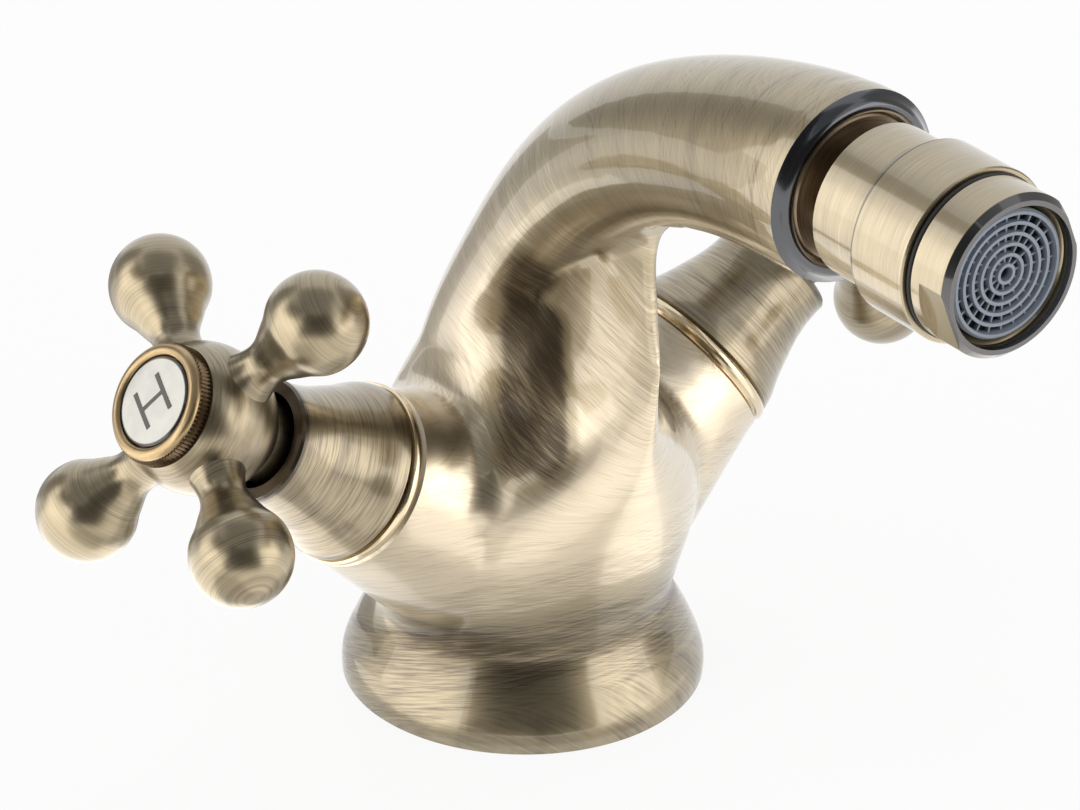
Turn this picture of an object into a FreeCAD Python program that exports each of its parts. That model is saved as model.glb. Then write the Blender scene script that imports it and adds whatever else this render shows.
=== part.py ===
import FreeCAD, Part
import math
import os
from FreeCAD import Vector as V, Placement, Rotation, Matrix

os.makedirs("parts", exist_ok=True)

# millimetres, +Z up, origin at the centre of the foot's underside, spout toward -Y

# casting
footR = 32.9            # foot radius at the deck
waistR = 26.8           # radius of the waist above the foot
waistZ = 17.5           # height of the waist
bandH = 2.6             # straight band at the bottom of the foot
prowY = 38.6            # how far the front ridge reaches forward
backY = 26.6            # how far the back reaches
footWall = 7.5          # foot's edge to the hollow in the underside
footCavityR = footR - footWall
footCavityH = 7.0
sealLip, sealW, sealH = 1.9, 3.0, 2.2
sealOut = footR - sealLip
sealIn = sealOut - sealW

# valve bosses
valveZ = 25.6           # height where the two boss axes cross
valveTilt = 33.8        # degrees above the horizontal
bossEnd = 44.4          # boss face, along the boss axis
bossWall = 2.8          # from the inside of the cover's ring to the boss's edge
bossSlope = 0.21        # growth of the boss radius toward the middle
valveBoreR = 10.4
boreDepth = 24.4
seatT = bossEnd - boreDepth
portR = 4.5

# headwork
fitGap = 0.1            # radial gap of a thread or a seated piece
runFit = 0.05           # radial gap of the turning spindle
hexAF = 2 * valveBoreR + 0.7
hexH = 5.6
hexTop = bossEnd + hexH
hexCorner = hexAF / 2 / math.cos(math.pi / 6)

# neck, centreline points (y, z) with outer radius
neckLine = [(16.5, 46.0, 10.6), (12.6, 58.0, 11.8), (-0.4, 81.1, 12.4), (-15.9, 101.8, 13.2),
            (-36.3, 117.9, 14.0), (-56.0, 126.0, 15.0), (-73.0, 129.7, 16.2), (-88.9, 131.1, 16.65)]
mouthY, mouthZ, mouthR = 88.9, 131.1, 16.65
waterR = 8.0            # water way in the neck
mouthHoleR, mouthHoleD = 13.2, 2.6
threadR, threadD = 11.6, 12.0
rimChamfer = 1.9

# under the foot
inletX, inletY, inletR, inletTop = 8.5, -6.0, 5.0, 20.0
feedR, mixR = 3.4, 3.2   # passages inlet to valve, and valve to neck
studY, studR, studTop = 10.5, 4.0, 21.0

# covers and their rings
ringIn = hexCorner + 1.0
bossR = ringIn + bossWall
ringR, ringW = bossR + 0.3, 2.4
coverBigR = bossR - 0.2
coverSmallR, coverLen = 11.1, 22.0
coverStart = bossEnd + ringW
coverEnd = coverStart + coverLen
coverWall = 1.4
coverMouthR = coverSmallR - 2.8

# handles
crossGap = 14.0         # cover's end to the plane of the four arms
crossT = coverEnd + crossGap
hubR = 13.3
hubFront = crossT + 7.8
armL, ballR, armR = 28.9, 9.0, 4.1
hotTurn, coldTurn = -31.4, 84.0
discR, discT = 7.9, 1.5
bezelLip, bezelH = 2.8, 3.8
bezelR, bezelFront = discR + bezelLip, hubFront + bezelH
spindleR = 4.0
screwR, screwHeadR, screwHeadH = 2.45, 4.3, 3.2
spindleTop = crossT - 4.8
screwSeat = crossT + 1.2
glandTop = coverEnd - 9.8
bezelSeat = hubFront - 3.4
discBack = bezelFront - discT - 0.4
socketAF = 4.0          # hexagon socket in the handle's screw

# stations of the headwork, from the seat up the boss axis
seatSealH = 4.0
sealTop = seatT + seatSealH
windowH, windowW = 5.5, 8.0
discSeat = seatT + 11.4
plateT, plateGap = 3.0, 0.3
discPortR = 2.2
slotW, slotD = 4.6, 1.1
forkT = discSeat + 2 * plateT + plateGap
flangeT = bossEnd + 2.0
sleeveR = valveBoreR - 1.4
chamberR = valveBoreR - 2.6
stemR = spindleR + 0.6

# swivelling nozzle, lengths from the mouth along the spout axis
ballJointS, ballJointR = 10.0, 10.4
ballGap = 0.3           # free play round the ball and its liner
linerT = 0.7
cupWall, cupBack, cupFront = 2.9, 4.2, 15.6
cupR = ballJointR + cupWall
cupThreadR, cupThreadL = cupR - 0.7, 4.4
spigotNeckR = ballJointR - 3.5
insertR, insertFront, insertH = 11.0, 36.4, 9.0
insertRings, insertRibs = 5, 24
headWall, headFront = 3.0, 37.8
headR = insertR + headWall
shankR = insertR + 1.0
collarR, collarFront = max(headR, cupR) + 1.0, 28.5
gasketT = 0.9
washerT, washerS = 1.6, 22.0
headFlats, flatTurn = 2 * headR - 2.6, 22.0
spigotHexAF, spigotWall = 11.0, 2.3
plugBoreR = 6.2         # water way through the collar

# stations from the ball's centre; the liner may turn 10 degrees before it meets cup or collar
knobFront = 5.0
linerBack, linerFront = 3.2, 5.0
cupStep, wellFloor = 0.8, 7.7
linerIn = ballJointR + ballGap
linerOut = linerIn + linerT
wellR = linerOut + ballGap


def frame(o, ex, ey, ez):
    return Placement(Matrix(ex.x, ey.x, ez.x, o.x, ex.y, ey.y, ez.y, o.y,
                            ex.z, ey.z, ez.z, o.z, 0, 0, 0, 1))


def rev(pts):
    """revolve (r, z) points about the local z axis; a third value makes the stretch a spline"""
    edges, run = [], []
    pts = list(pts) + [pts[0]]
    for a, b in zip(pts[:-1], pts[1:]):
        pa, pb = V(a[0], 0, a[1]), V(b[0], 0, b[1])
        if len(a) > 2 and len(b) > 2:
            run = run or [pa]
            run.append(pb)
            continue
        if run:
            edges.append(spline(run))
            run = []
        if (pa - pb).Length > 1e-6:
            edges.append(Part.makeLine(pa, pb))
    if run:
        edges.append(spline(run))
    face = Part.Face(Part.Wire(edges))
    return face.revolve(V(0, 0, 0), V(0, 0, 1), 360)


def spline(pts, periodic=False):
    c = Part.BSplineCurve()
    c.interpolate(pts, PeriodicFlag=periodic)
    return c.toShape()


def cyl(r, z0, z1):
    return Part.makeCylinder(r, z1 - z0, V(0, 0, z0))


def rod(a, b, r):
    return Part.makeCylinder(r, (b - a).Length, a, b - a)


def tube(ro, ri, z0, z1):
    return cyl(ro, z0, z1).cut(cyl(ri, z0 - 1, z1 + 1))


def ball(r, z):
    return Part.makeSphere(r, V(0, 0, z))


def one(shape):
    shape = shape.removeSplitter()
    return shape.Solids[0] if len(shape.Solids) == 1 else shape


c, s = math.cos(math.radians(valveTilt)), math.sin(math.radians(valveTilt))
valveO = V(0, 0, valveZ)
hotN = V(-c, 0, s)
hotFrame = frame(valveO, V(0, 1, 0), hotN.cross(V(0, 1, 0)), hotN)
noseFrame = Placement(V(0, -mouthY, mouthZ), Rotation(V(1, 0, 0), 90))


def onHot(t):
    return valveO + hotN * t


def placed(shape, frm):
    out = shape.copy()
    out.Placement = frm.multiply(out.Placement)
    return out


def mirrored(shape):
    return shape.mirror(V(0, 0, 0), V(1, 0, 0))


def section(z, yf, yb, w, p, n=15):
    """horizontal outline: front at yf, back at yb, half width w, p above 0.5 sharpens the front"""
    q = 0.5
    top = (p / (p + q)) ** p * (q / (p + q)) ** q
    half = []
    for i in range(n + 1):
        th = math.pi * i / n
        u, v = math.sin(th / 2) ** 2, math.cos(th / 2) ** 2
        half.append((w * u ** p * v ** q / top, yf + (yb - yf) * u))
    pts = [V(x, y, z) for x, y in half]
    pts += [V(-x, y, z) for x, y in half[-2:0:-1]]
    return Part.Wire([spline(pts, True)])


def loftBody():
    rows = [(0, footR, footR, footR, .5), (bandH, footR, footR, footR, .5)]
    for k, h in ((.2, .354), (.49, .571), (.787, .754), (.951, .88), (1, 1)):
        r = footR + (waistR - footR) * k
        rows.append((waistZ * h, r, r, r, .5))
    rows += [(waistZ + 2.5, waistR + .4, waistR + .1, waistR + .5, .5),
             (24.5, waistR + 1.3, backY, 28.6, .5), (31, 29.6, backY, 30.3, .5),
             (38, 31.2, backY, 30.8, .52), (46, 33.2, 26.4, 28.2, .56),
             (54, 35.2, 25.8, 22.2, .62), (62, prowY - 1.9, 23.4, 15.2, .7),
             (70, prowY - .7, 19.6, 10.9, .8), (76.5, prowY - .1, 15.4, 9.4, .86),
             (82, prowY, 11.2, 8.8, .9), (88, prowY - .8, 6.6, 8.4, .9),
             (94, prowY - 1.6, 1.4, 8.1, .9), (99, prowY - 1.2, -4.2, 7.9, .88),
             (103, prowY + 1.0, -8.5, 7.7, .86), (108, prowY + 4.0, -14.5, 6.6, .8),
             (112.5, prowY + 6.0, -21, 4.6, .7)]
    return Part.makeLoft([section(z, -a, b, w, p) for z, a, b, w, p in rows], True, False)


def neckLoft(radii):
    pts = [V(0, y, z) for y, z, r in neckLine]
    wires = []
    for i, (y, z, r) in enumerate(neckLine):
        a, b = pts[max(i - 1, 0)], pts[min(i + 1, len(pts) - 1)]
        d = (b - a).normalize() if i < len(pts) - 1 else V(0, -1, 0)
        wires.append(Part.Wire([Part.Circle(pts[i], d, radii(i, r)).toShape()]))
    return Part.makeLoft(wires, True, False)


def archCut():
    """the opening between the front ridge and the spout, cut straight through in x"""
    under = []
    for y, z, r in neckLine[4:7]:
        under.append((y + .12 * r, z - .99 * r + .25))
    pts = [(-39.9, 70), (-38.5, 76.4), (-37.1, 81.6), (-36.1, 88.9), (-35.5, 95), (-36.2, 100.5),
           (-40.0, 105.6), (-46.5, 108.6)] + under[1:2]
    yEnd, zEnd = pts[-1]
    curve = spline([V(0, y, z) for y, z in pts])
    back = [V(0, yEnd, zEnd), V(0, yEnd - 6, zEnd - 8), V(0, -70, 70), V(0, -39.9, 70)]
    edges = [curve] + [Part.makeLine(a, b) for a, b in zip(back[:-1], back[1:])]
    face = Part.Face(Part.Wire(edges))
    face.translate(V(-30, 0, 0))
    return face.extrude(V(60, 0, 0))


def casting():
    boss = rev([(0, 4), (bossR + bossSlope * (bossEnd - 4), 4), (bossR + .5, bossEnd - 3, 1),
                (bossR, bossEnd - .6, 1), (bossR - .6, bossEnd), (0, bossEnd)])
    hot = placed(boss, hotFrame)
    body = loftBody().fuse([neckLoft(lambda i, r: r), hot, mirrored(hot)])
    body = body.cut(archCut())
    # water way and mouth
    inner = neckLoft(lambda i, r: waterR if i else waterR - 2)
    mouth = rev([(0, -threadD), (threadR, -threadD), (threadR, -mouthHoleD),
                 (mouthHoleR, -mouthHoleD), (mouthHoleR, -.3), (mouthHoleR + .3, 0),
                 (mouthHoleR + .3, 1), (0, 1)])
    rim = rev([(mouthR - rimChamfer, 0), (mouthR + 3, -rimChamfer - 3), (mouthR + 3, 1),
               (mouthR - rimChamfer, 1)])
    cuts = [inner, placed(mouth, noseFrame), placed(rim, noseFrame)]
    # valve bores and the passages that feed them
    bore = rev([(0, seatT - 6), (portR, seatT - 6), (portR, seatT), (valveBoreR, seatT),
                (valveBoreR, bossEnd - .8), (valveBoreR + 1, bossEnd + .2), (0, bossEnd + .2)])
    hotCuts = [placed(bore, hotFrame),
               rod(V(-inletX, inletY, inletTop - 4), onHot(seatT - 4), feedR),
               rod(onHot(seatT + 6.5), V(0, 13, 52), mixR),
               Part.makeCylinder(inletR, inletTop, V(-inletX, inletY, 0))]
    cuts += hotCuts + [mirrored(k) for k in hotCuts]
    # underside
    cavity = rev([(0, -1), (footCavityR, -1), (footCavityR, footCavityH - 2, 1),
                  (footCavityR - .6, footCavityH - .6, 1), (footCavityR - 2, footCavityH, 1),
                  (0, footCavityH)])
    cuts += [cavity, tube(sealOut + .15, sealIn - .15, -1, sealH),
             Part.makeCylinder(studR, studTop, V(0, studY, 0))]
    return one(body.cut(cuts))


def cover():
    t0 = coverStart
    drop = coverBigR - coverSmallR
    out = [(coverBigR - .6, t0), (coverBigR, t0 + .5, 1)]
    for k, h in ((.07, .1), (.35, .255), (.65, .455), (.88, .636), (.99, .8)):
        out.append((coverBigR - drop * k, t0 + coverLen * h, 1))
    out += [(coverSmallR, coverEnd - .5, 1), (coverSmallR - .4, coverEnd)]
    inner = [(coverMouthR + .4, coverEnd), (coverMouthR, coverEnd - 2.4),
             (coverSmallR - coverWall, coverEnd - 4),
             (coverSmallR - coverWall + .3, t0 + coverLen * .6),
             (coverBigR - drop * .6 - coverWall, t0 + coverLen * .42),
             (ringIn + .1, t0 + 4), (ringIn + .1, t0)]
    return one(rev(out + inner))


def coverRing():
    t0, t1 = bossEnd, coverStart
    return rev([(ringIn, t0), (bossR - .9, t0), (bossR - .9, t0 + .4), (ringR - .35, t0 + .4),
                (ringR, t0 + .8, 1), (ringR + .04, t0 + 1.3, 1), (ringR - .3, t1 - .25, 1),
                (coverBigR - .9, t1 - .25), (coverBigR - .9, t1), (ringIn, t1)])


def hexPrism(af, z0, z1):
    r = af / 2 / math.cos(math.pi / 6)
    pts = [V(r * math.cos(math.pi * k / 3), r * math.sin(math.pi * k / 3), z0) for k in range(7)]
    return Part.Face(Part.makePolygon(pts)).extrude(V(0, 0, z1 - z0))


def headwork():
    flange = hexPrism(hexAF, bossEnd, hexTop).common(
        rev([(0, bossEnd), (hexCorner - .6, bossEnd), (hexCorner - .6, hexTop - .9),
             (hexAF / 2 - .2, hexTop), (0, hexTop)]))
    bodyR = valveBoreR - fitGap
    glandR = stemR + 3.4
    outer = rev([(0, sealTop), (sleeveR, sealTop), (sleeveR, discSeat + 1.6),
                 (bodyR, discSeat + 2.2), (bodyR, bossEnd), (glandR, bossEnd),
                 (glandR, glandTop - .6), (glandR - .6, glandTop), (0, glandTop)])
    shape = outer.fuse(flange)
    hollow = rev([(0, sealTop - 1), (chamberR, sealTop - 1), (chamberR, forkT + 3.5),
                  (chamberR - 1.2, forkT + 3.5), (chamberR - 1.2, flangeT), (stemR + runFit, flangeT),
                  (stemR + runFit, glandTop + 1), (0, glandTop + 1)])
    shape = shape.cut(hollow)
    window = Part.makeBox(30, windowW, windowH, V(-15, -windowW / 2, sealTop + .8))
    return one(shape.cut([window, tube(12, glandR - 1.1, glandTop - 3.8, glandTop - 2.8)]))


def spindle():
    shape = rev([(0, forkT), (chamberR - 1.8, forkT), (chamberR - 1.8, forkT + 3.2),
                 (stemR - .4, forkT + 3.2), (stemR - .4, flangeT - 4.4),
                 (chamberR - 1.6, flangeT - 4.4), (chamberR - 1.6, flangeT - .4),
                 (stemR, flangeT - .4), (stemR, glandTop + 1.4), (spindleR, glandTop + 2.2),
                 (spindleR, spindleTop - .5), (spindleR - .5, spindleTop), (0, spindleTop)])
    z0 = glandTop + 3
    notch = [Part.makeBox(.7, .7, spindleTop + 1 - z0, V(-.35, -.35, z0)) for k in range(16)]
    for k, b in enumerate(notch):
        b.rotate(V(0, 0, 0), V(0, 0, 1), 45)
        b.translate(V(spindleR + .18, 0, 0))
        b.rotate(V(0, 0, 0), V(0, 0, 1), 22.5 * k)
    return one(shape.cut(notch + [cyl(screwR + fitGap, spindleTop - 9.5, spindleTop + 1)]))


def fixedDisc():
    r = chamberR - .2
    plate = cyl(r, discSeat, discSeat + plateT)
    ports = [Part.makeCylinder(discPortR, 6, V(x, 0, discSeat - 1)) for x in (-.55 * r, .55 * r)]
    return plate.cut(ports)


def turningDisc():
    r, z = chamberR - .4, discSeat + plateT + plateGap
    plate = cyl(r, z, z + plateT)
    return plate.cut(Part.makeBox(1.6 * r, slotW, slotD + 1, V(-.8 * r, -slotW / 2, z - 1)))


def seatSeal():
    z, r, h = seatT, valveBoreR - 1.6, seatSealH
    return rev([(portR + .7, z), (r - .4, z), (r, z + .5), (r, z + h - .6), (r - .4, z + h - .1),
                (portR + 1.1, z + h - .1), (portR + .7, z + h - .6)])


def handle(turn):
    prof = [(0, 0), (6.4, 0), (6.4, 8), (5.0, 12.2, 1), (4.3, 14.4, 1), (armR, 16.3, 1),
            (4.45, 18.2, 1), (5.5, 20.4, 1)]
    th0 = math.asin(6.9 / ballR)
    for k in range(9):
        th = th0 + (math.pi - th0) * k / 8.0
        prof.append((max(ballR * math.sin(th), 0), armL - ballR * math.cos(th), 1))
    prof[-1] = (0, armL + ballR, 1)
    arm = rev(prof)
    arm.rotate(V(0, 0, 0), V(0, 1, 0), 90)
    arms = []
    for k in range(4):
        a = arm.copy()
        a.translate(V(0, 0, crossT))
        a.rotate(V(0, 0, 0), V(0, 0, 1), turn + 90 * k)
        arms.append(a)
    z0 = glandTop + 4.2
    skirtR = coverMouthR - 1.1
    skirt = rev([(0, z0), (skirtR - .6, z0), (skirtR, z0 + .6), (skirtR, crossT - 11.8),
                 (skirtR + 2.3, crossT - 8.8), (0, crossT - 6.8)])
    hub = ball(hubR, crossT).fuse(arms + [skirt])
    hub = hub.cut(Part.makeBox(24, 24, 30, V(-12, -12, hubFront)))
    wellR = discR + .55
    inner = rev([(0, z0 - 1), (stemR + .05, z0 - 1), (stemR + .05, z0 + 1.3),
                 (spindleR + fitGap / 2, z0 + 2), (spindleR + fitGap / 2, spindleTop + .4),
                 (screwR + .25, spindleTop + .4), (screwR + .25, screwSeat),
                 (screwHeadR + .7, screwSeat), (screwHeadR + .7, bezelSeat - .8),
                 (wellR, bezelSeat - .8), (wellR, hubFront - .4), (wellR + .4, hubFront + .1),
                 (0, hubFront + .1)])
    return one(hub.cut(inner))


def handleScrew():
    z0, z1 = spindleTop - 7.5, screwSeat + screwHeadH
    body = rev([(0, z0), (screwR - .45, z0), (screwR, z0 + .5), (screwR, screwSeat),
                (screwHeadR, screwSeat), (screwHeadR, z1 - .6), (screwHeadR - .5, z1), (0, z1)])
    return body.cut(hexPrism(socketAF, screwSeat + .9, z1 + 1))


def bezel():
    f, b = bezelFront, hubFront
    return one(rev([(discR - 1, bezelSeat), (discR + .5, bezelSeat), (discR + .5, b),
                    (bezelR - .3, b), (bezelR, b + .3), (bezelR, f - 1.5, 1),
                    (bezelR - .35, f - .55, 1), (bezelR - 1.2, f - .05, 1),
                    (discR + .9, f - .15, 1), (discR + .15, f - .6), (discR + .15, discBack),
                    (discR - 1, discBack)]))


def indexDisc():
    b = discBack
    return rev([(0, b), (discR, b), (discR, b + discT - .25), (discR - .3, b + discT, 1),
                (discR * .5, b + discT + .18, 1), (0, b + discT + .25, 1)])


# everything of the nozzle is drawn along z from the mouth plane
def zoneBetween(rOut, rIn, z0, z1):
    shell = ball(rOut, ballJointS)
    if rIn:
        shell = shell.cut(ball(rIn, ballJointS))
    return shell.common(cyl(30, z0, z1))


def ballSpigot():
    r, f = threadR - fitGap, mouthHoleR - .3
    n = spigotNeckR
    shank = rev([(0, 1 - threadD), (r - .4, 1 - threadD), (r, 1.6 - threadD), (r, -mouthHoleD),
                 (f, -mouthHoleD), (f, -.9), (f - .4, -.5), (n + 1.1, -.5), (n, .6), (n, 4.0),
                 (n - .9, 6.0), (0, 6.0)])
    knob = ball(ballJointR, ballJointS).common(cyl(20, cupBack - 1.6, ballJointS + knobFront))
    bore = [cyl(n - spigotWall, -threadD, 20), hexPrism(spigotHexAF, -threadD, -4)]
    return one(shank.fuse(knob).cut(bore))


def ballLiner():
    return zoneBetween(linerOut, linerIn, ballJointS + linerBack, ballJointS + linerFront)


def cup():
    z1 = cupFront + cupThreadL
    cap = rev([(0, cupBack), (cupR - .4, cupBack), (cupR, cupBack + .4), (cupR, cupFront),
               (cupThreadR, cupFront), (cupThreadR, z1), (0, z1)])
    return one(cap.cut([ball(linerIn, ballJointS), cyl(wellR, ballJointS + cupStep, z1 + 1)]))


def collar():
    outer = rev([(0, cupFront), (collarR - .5, cupFront), (collarR, cupFront + .5),
                 (collarR, collarFront - .25), (collarR - .25, collarFront), (0, collarFront)])
    groove = tube(cupThreadR + fitGap, wellR - fitGap, cupFront - 1, cupFront + cupThreadL + .1)
    return one(outer.cut([groove, cyl(wellR, cupFront - 1, ballJointS + wellFloor),
                          cyl(plugBoreR, cupFront, 30), cyl(shankR + fitGap, washerS, 30)]))


def nozzleGasket():
    return tube(collarR - .45, shankR + fitGap + .2, collarFront, collarFront + gasketT)


def head():
    z0, zs = collarFront + gasketT, washerS + washerT
    outer = rev([(0, zs), (shankR - .4, zs), (shankR, zs + .4), (shankR, z0), (headR - .25, z0),
                 (headR, z0 + .25), (headR, headFront - 1.1), (headR - 1.0, headFront),
                 (0, headFront)])
    seat = insertFront - insertH
    bore = [cyl(insertR - .8, 20, 40), cyl(insertR + .15, seat, 40),
            rev([(0, insertFront - 1.6), (insertR + .15, insertFront - 1.6),
                 (insertR + 1.0, insertFront - .6), (insertR + 1.2, headFront + 1),
                 (0, headFront + 1)])]
    shape = outer.cut(bore)
    for k in (0, 180):
        flat = Part.makeBox(6, 30, 8, V(headFlats / 2, -15, headFront - 6.2))
        flat.rotate(V(0, 0, 0), V(0, 0, 1), flatTurn + k)
        shape = shape.cut(flat)
    return one(shape)


def insert():
    f = insertFront
    shell = rev([(insertR - 1.4, f - insertH), (insertR, f - insertH), (insertR, f - .4),
                 (insertR - .4, f), (insertR - .9, f), (insertR - 1.1, f - 2.2),
                 (insertR - 1.4, f - 2.2)])
    plate = cyl(insertR - 1, f - 3.4, f - 2.2)
    rings = []
    pitch = (insertR - 1.6) / (insertRings + .3)
    for k in range(insertRings):
        r = 1.5 + pitch * k
        rings.append(tube(r + .28, r - .28, f - 2.4, f - .25))
    ribs = []
    for k in range(insertRibs):
        inner = 1.5 if k % 2 == 0 else 1.5 + 2 * pitch
        b = Part.makeBox(insertR - .9 - inner, .34, 1.5, V(inner, -.17, f - 2.4))
        b.rotate(V(0, 0, 0), V(0, 0, 1), 360.0 * k / insertRibs)
        ribs.append(b)
    return one(shell.fuse([plate] + rings + ribs))


def washer():
    return tube(shankR - .2, shankR - 3.8, washerS, washerS + washerT)


def footSeal():
    return rev([(sealIn, 0), (sealOut, 0), (sealOut, sealH - .4), (sealOut - .4, sealH),
                (sealIn + .4, sealH), (sealIn, sealH - .4)])


nodes = {"body_casting": casting(), "foot_seal": footSeal()}

hotParts = {"cover": cover(), "cover_ring": coverRing(), "headwork": headwork(),
            "spindle": spindle(), "fixed_disc": fixedDisc(), "turning_disc": turningDisc(),
            "seat_seal": seatSeal(), "handle_screw": handleScrew(), "bezel": bezel(),
            "index_disc": indexDisc()}
for name, shape in hotParts.items():
    hot = placed(shape, hotFrame)
    nodes["hot_" + name] = hot
    nodes["cold_" + name] = mirrored(hot)
nodes["hot_handle"] = placed(handle(hotTurn), hotFrame)
nodes["cold_handle"] = mirrored(placed(handle(coldTurn), hotFrame))

for name, shape in {"ball_spigot": ballSpigot(), "ball_liner": ballLiner(), "nozzle_cup": cup(),
                    "nozzle_collar": collar(), "nozzle_gasket": nozzleGasket(),
                    "aerator_head": head(), "aerator_insert": insert(),
                    "aerator_washer": washer()}.items():
    nodes[name] = placed(shape, noseFrame)

for name, shape in sorted(nodes.items()):
    shape.exportStep("parts/" + name + ".step")
    box = shape.BoundBox
    print("%-20s solids %d valid %s vol %9.1f  x %7.2f..%7.2f y %7.2f..%7.2f z %7.2f..%7.2f" % (
        name, len(shape.Solids), shape.isValid(), shape.Volume, box.XMin, box.XMax, box.YMin,
        box.YMax, box.ZMin, box.ZMax))
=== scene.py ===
import math

import bmesh
import bpy
from mathutils import Matrix, Vector


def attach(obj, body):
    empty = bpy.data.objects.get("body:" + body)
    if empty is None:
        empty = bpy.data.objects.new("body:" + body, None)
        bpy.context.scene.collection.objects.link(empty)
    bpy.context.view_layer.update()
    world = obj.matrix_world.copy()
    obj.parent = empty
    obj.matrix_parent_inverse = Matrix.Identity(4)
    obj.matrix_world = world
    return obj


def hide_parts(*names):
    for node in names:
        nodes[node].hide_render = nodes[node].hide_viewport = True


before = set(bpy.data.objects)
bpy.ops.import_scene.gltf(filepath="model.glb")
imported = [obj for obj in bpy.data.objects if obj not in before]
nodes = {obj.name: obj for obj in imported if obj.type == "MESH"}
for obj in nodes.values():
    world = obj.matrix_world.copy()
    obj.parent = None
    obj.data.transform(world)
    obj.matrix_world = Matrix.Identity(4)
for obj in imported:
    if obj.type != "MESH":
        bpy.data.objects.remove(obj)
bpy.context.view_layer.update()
mm = 0.001
print("frame loaded:", len(nodes), "nodes")

# the photographer's place, seen from the foot's centre
view = {
    "azimuth": 36.85,
    "elevation": 28.5,
    "roll": 0.7,
    "distance": 1034 * mm,
    "aim": (3.16 * mm, 46.2 * mm),
    "lens": 189.2,
}

# axes of the valves and of the spout's mouth, as the construction has them
valve = {"height": 25.6 * mm, "tilt": 33.8}
mouth = {"y": -88.9 * mm, "z": 131.1 * mm}


def axesMatrix(origin, ex, ey, ez):
    turn = Matrix((ex, ey, ez)).transposed().to_4x4()
    return Matrix.Translation(origin) @ turn


tilt = math.radians(valve["tilt"])
hotAxis = Vector((-math.cos(tilt), 0, math.sin(tilt)))
coldAxis = Vector((math.cos(tilt), 0, math.sin(tilt)))
across = Vector((0, 1, 0))
valveOrigin = Vector((0, 0, valve["height"]))
hotMatrix = axesMatrix(valveOrigin, across, hotAxis.cross(across), hotAxis)
coldMatrix = axesMatrix(valveOrigin, across, coldAxis.cross(across), coldAxis)
mouthMatrix = Matrix.Translation((0, mouth["y"], mouth["z"])) @ Matrix.Rotation(math.pi / 2, 4, "X")
valveMatrix = {"hot": hotMatrix, "cold": coldMatrix}


def addCamera():
    a, e, r = (math.radians(view[k]) for k in ("azimuth", "elevation", "roll"))
    toward = Vector((-math.sin(a) * math.cos(e), -math.cos(a) * math.cos(e), math.sin(e)))
    right = Vector((math.cos(a), -math.sin(a), 0))
    up = toward.cross(right)
    right, up = right * math.cos(r) + up * math.sin(r), up * math.cos(r) - right * math.sin(r)
    place = right * view["aim"][0] + up * view["aim"][1] + toward * view["distance"]
    cameraData = bpy.data.cameras.new("camera")
    cameraData.lens = view["lens"]
    cameraData.sensor_width = 36
    cameraData.clip_start = 0.05
    camera = bpy.data.objects.new("camera", cameraData)
    camera.matrix_world = axesMatrix(place, right, up, toward)
    bpy.context.scene.collection.objects.link(camera)
    bpy.context.scene.camera = camera


addCamera()


def link(tree, source, target):
    tree.links.new(source, target)


def addNode(tree, kind, values=None, **settings):
    node = tree.nodes.new(kind)
    for name, value in settings.items():
        setattr(node, name, value)
    for key, value in (values or {}).items():
        if hasattr(value, "is_output"):
            link(tree, value, node.inputs[key])
        else:
            node.inputs[key].default_value = value
    return node


def mathNode(tree, operation, a, b=0.0, c=0.0, clamp=False):
    node = addNode(tree, "ShaderNodeMath", {0: a, 1: b, 2: c}, operation=operation, use_clamp=clamp)
    return node.outputs[0]


def rampBetween(tree, value, start, end, low=0.0, high=1.0, kind="SMOOTHSTEP"):
    node = addNode(tree, "ShaderNodeMapRange", {0: value, 1: start, 2: end, 3: low, 4: high},
                   interpolation_type=kind)
    return node.outputs[0]


def mixColours(tree, share, a, b):
    return addNode(tree, "ShaderNodeMix", {0: share, 6: a, 7: b}, data_type="RGBA").outputs[2]


def newGroup(name, inputs, outputs):
    tree = bpy.data.node_groups.new(name, "ShaderNodeTree")
    for label, kind in inputs:
        tree.interface.new_socket(label, in_out="INPUT", socket_type="NodeSocket" + kind)
    for label, kind in outputs:
        tree.interface.new_socket(label, in_out="OUTPUT", socket_type="NodeSocket" + kind)
    return tree, tree.nodes.new("NodeGroupInput"), tree.nodes.new("NodeGroupOutput")


def groupNode(tree, groupTree, values):
    node = tree.nodes.new("ShaderNodeGroup")
    node.node_tree = groupTree
    for key, value in values.items():
        if hasattr(value, "is_output"):
            link(tree, value, node.inputs[key])
        else:
            node.inputs[key].default_value = value
    return node


# run: direction in which the slanted strokes drift; mix: factor and offset of both sets added together;
# wide: pitch of the lines over that of the bands
brush = {"run": (0.9, 0.5, 0.8), "mix": (0.65, -0.15), "wide": 0.12, "crossScale": 1.3, "bandScale": 0.7}


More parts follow.
